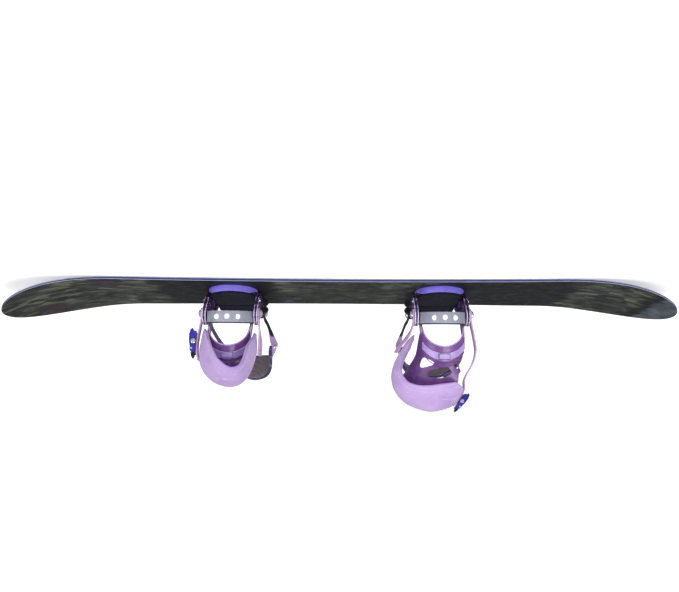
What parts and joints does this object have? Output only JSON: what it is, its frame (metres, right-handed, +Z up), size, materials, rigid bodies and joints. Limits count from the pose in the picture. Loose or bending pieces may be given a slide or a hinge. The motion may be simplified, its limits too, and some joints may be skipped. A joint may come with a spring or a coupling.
{
  "type": "snowboard with strap bindings",
  "caption": "Snowboard with upturned ends, laminated deck, steel edges and strap bindings with folding highbacks, padded ankle straps, toe caps and ratchet buckles.",
  "frame": {"origin": "centre of the flat of the base, on its underside", "axes": "+X along the board towards the front binding, +Y to the toe side, +Z up off the deck"},
  "size_m": [1.5, 0.3079, 0.275],
  "materials": {
    "base": "glossy navy sintered base, faint grind lines",
    "steel": "bright ground steel",
    "sidewall": "satin navy with a pale line under the topsheet",
    "wood": "laminated strips, hidden inside the board",
    "topsheet": "satin near-black with brushed olive-grey streaks",
    "violet_rubber": "satin violet-blue",
    "dark_nylon": "glossy dark purple glass-filled nylon",
    "black_nylon": "satin black",
    "foam": "navy-black ribbed foam rubber",
    "aluminium": "brushed silver-grey",
    "chrome": "bright",
    "purple_nylon": "satin purple",
    "lavender_nylon": "satin lavender",
    "lavender_pad": "padded synthetic leather, stitched",
    "mauve_nylon": "satin mauve with moulded teeth",
    "cap_rubber": "brown-mauve mesh with a navy border",
    "blue_nylon": "glossy blue-violet"
  },
  "bodies": {
    "board": {"base_sheet": "base", "steel_edge": "steel", "sidewall": "sidewall", "wood_core": "wood", "topsheet": "topsheet", "front_bushing_pad": "violet_rubber", "front_baseplate": "dark_nylon", "front_mounting_disc": "black_nylon", "front_footbed": "foam", "front_toe_ramp": "foam", "front_heelcup": "aluminium", "front_pivot_bolt_inner": "chrome", "front_pivot_bolt_outer": "chrome", "front_ankle_bolt_inner": "chrome", "front_ankle_bolt_outer": "chrome", "front_toe_bolt_inner": "chrome", "front_toe_bolt_outer": "chrome", "rear_bushing_pad": "violet_rubber", "rear_baseplate": "dark_nylon", "rear_mounting_disc": "black_nylon", "rear_footbed": "foam", "rear_toe_ramp": "foam", "rear_heelcup": "aluminium", "rear_pivot_bolt_inner": "chrome", "rear_pivot_bolt_outer": "chrome", "rear_ankle_bolt_inner": "chrome", "rear_ankle_bolt_outer": "chrome", "rear_toe_bolt_inner": "chrome", "rear_toe_bolt_outer": "chrome"},
    "front_highback": {"front_highback": "purple_nylon", "front_highback_pad": "foam"},
    "front_lean": {"front_lean_arch": "lavender_nylon"},
    "front_lean_lock": {"front_lean_lock": "lavender_nylon"},
    "front_ankle": {"front_ankle_pad": "lavender_pad", "front_ankle_tail": "mauve_nylon", "front_ankle_ladder": "mauve_nylon", "front_ankle_buckle": "blue_nylon"},
    "front_ankle_lever": {"front_ankle_lever": "blue_nylon"},
    "front_ankle_release": {"front_ankle_release": "black_nylon"},
    "front_toe": {"front_toe_cap": "cap_rubber", "front_toe_tail": "mauve_nylon", "front_toe_ladder": "dark_nylon", "front_toe_buckle": "black_nylon"},
    "front_toe_lever": {"front_toe_lever": "blue_nylon"},
    "rear_highback": {"rear_highback": "purple_nylon", "rear_highback_pad": "foam"},
    "rear_lean": {"rear_lean_arch": "lavender_nylon"},
    "rear_lean_lock": {"rear_lean_lock": "lavender_nylon"},
    "rear_ankle": {"rear_ankle_pad": "lavender_pad", "rear_ankle_tail": "mauve_nylon", "rear_ankle_ladder": "mauve_nylon", "rear_ankle_buckle": "blue_nylon"},
    "rear_ankle_lever": {"rear_ankle_lever": "blue_nylon"},
    "rear_ankle_release": {"rear_ankle_release": "black_nylon"},
    "rear_toe": {"rear_toe_cap": "cap_rubber", "rear_toe_tail": "mauve_nylon", "rear_toe_ladder": "dark_nylon", "rear_toe_buckle": "black_nylon"},
    "rear_toe_lever": {"rear_toe_lever": "blue_nylon"}
  },
  "joints": [
    {"name": "front_highback_fold", "type": "hinge", "parent": "board", "child": "front_highback", "pos_m": [0.236, -0.046, 0.074], "axis": [-1, 0, 0], "range_deg": [0, 70]},
    {"name": "front_lean_adjust", "type": "slide", "parent": "front_highback", "child": "front_lean", "axis": [0, -0.309, -0.9511], "range_m": [0, 0.012]},
    {"name": "front_lean_lock_flip", "type": "hinge", "parent": "front_lean", "child": "front_lean_lock", "pos_m": [0.236, -0.1002, 0.166], "axis": [-1, 0, 0], "range_deg": [0, 80]},
    {"name": "front_ankle_swing", "type": "hinge", "parent": "board", "child": "front_ankle", "pos_m": [0.236, -0.068, 0.067], "axis": [1, 0, 0], "range_deg": [0, 60]},
    {"name": "front_ankle_lever_lift", "type": "hinge", "parent": "front_ankle", "child": "front_ankle_lever", "pos_m": [0.31517, -0.07283, 0.14671], "axis": [-0.0517, -0.9937, -0.0993], "range_deg": [0, 65], "stiffness_Nm_per_rad": 0.04, "springref_deg": -22.92},
    {"name": "front_ankle_release_lift", "type": "hinge", "parent": "front_ankle", "child": "front_ankle_release", "pos_m": [0.31283, -0.07351, 0.15473], "axis": [0.0517, 0.9937, 0.0993], "range_deg": [0, 20], "stiffness_Nm_per_rad": 0.03, "springref_deg": -17.19},
    {"name": "front_toe_swing", "type": "hinge", "parent": "board", "child": "front_toe", "pos_m": [0.236, 0.062, 0.044], "axis": [-1, 0, 0], "range_deg": [-30, 40]},
    {"name": "front_toe_lever_lift", "type": "hinge", "parent": "front_toe", "child": "front_toe_lever", "pos_m": [0.26182, 0.13129, 0.14377], "axis": [-0.1344, -0.8754, 0.4643], "range_deg": [0, 65], "stiffness_Nm_per_rad": 0.04, "springref_deg": -22.92},
    {"name": "rear_highback_fold", "type": "hinge", "parent": "board", "child": "rear_highback", "pos_m": [-0.222, -0.046, 0.074], "axis": [-1, 0, 0], "range_deg": [0, 60]},
    {"name": "rear_lean_adjust", "type": "slide", "parent": "rear_highback", "child": "rear_lean", "axis": [0, -0.309, -0.9511], "range_m": [0, 0.012]},
    {"name": "rear_lean_lock_flip", "type": "hinge", "parent": "rear_lean", "child": "rear_lean_lock", "pos_m": [-0.222, -0.1002, 0.166], "axis": [-1, 0, 0], "range_deg": [0, 80]},
    {"name": "rear_ankle_swing", "type": "hinge", "parent": "board", "child": "rear_ankle", "pos_m": [-0.222, -0.068, 0.067], "axis": [1, 0, 0], "range_deg": [0, 60]},
    {"name": "rear_ankle_lever_lift", "type": "hinge", "parent": "rear_ankle", "child": "rear_ankle_lever", "pos_m": [-0.25711, -0.048, 0.26395], "axis": [0, 1, 0], "range_deg": [0, 65], "stiffness_Nm_per_rad": 0.04, "springref_deg": -22.92},
    {"name": "rear_ankle_release_lift", "type": "hinge", "parent": "rear_ankle", "child": "rear_ankle_release", "pos_m": [-0.25195, -0.048, 0.26796], "axis": [0, -1, 0], "range_deg": [0, 20], "stiffness_Nm_per_rad": 0.03, "springref_deg": -17.19},
    {"name": "rear_toe_swing", "type": "hinge", "parent": "board", "child": "rear_toe", "pos_m": [-0.222, 0.062, 0.044], "axis": [-1, 0, 0], "range_deg": [-30, 40]},
    {"name": "rear_toe_lever_lift", "type": "hinge", "parent": "rear_toe", "child": "rear_toe_lever", "pos_m": [-0.25633, 0.12997, 0.18074], "axis": [-0.0002, 0.8946, -0.4469], "range_deg": [0, 65], "stiffness_Nm_per_rad": 0.04, "springref_deg": -22.92}
  ]
}
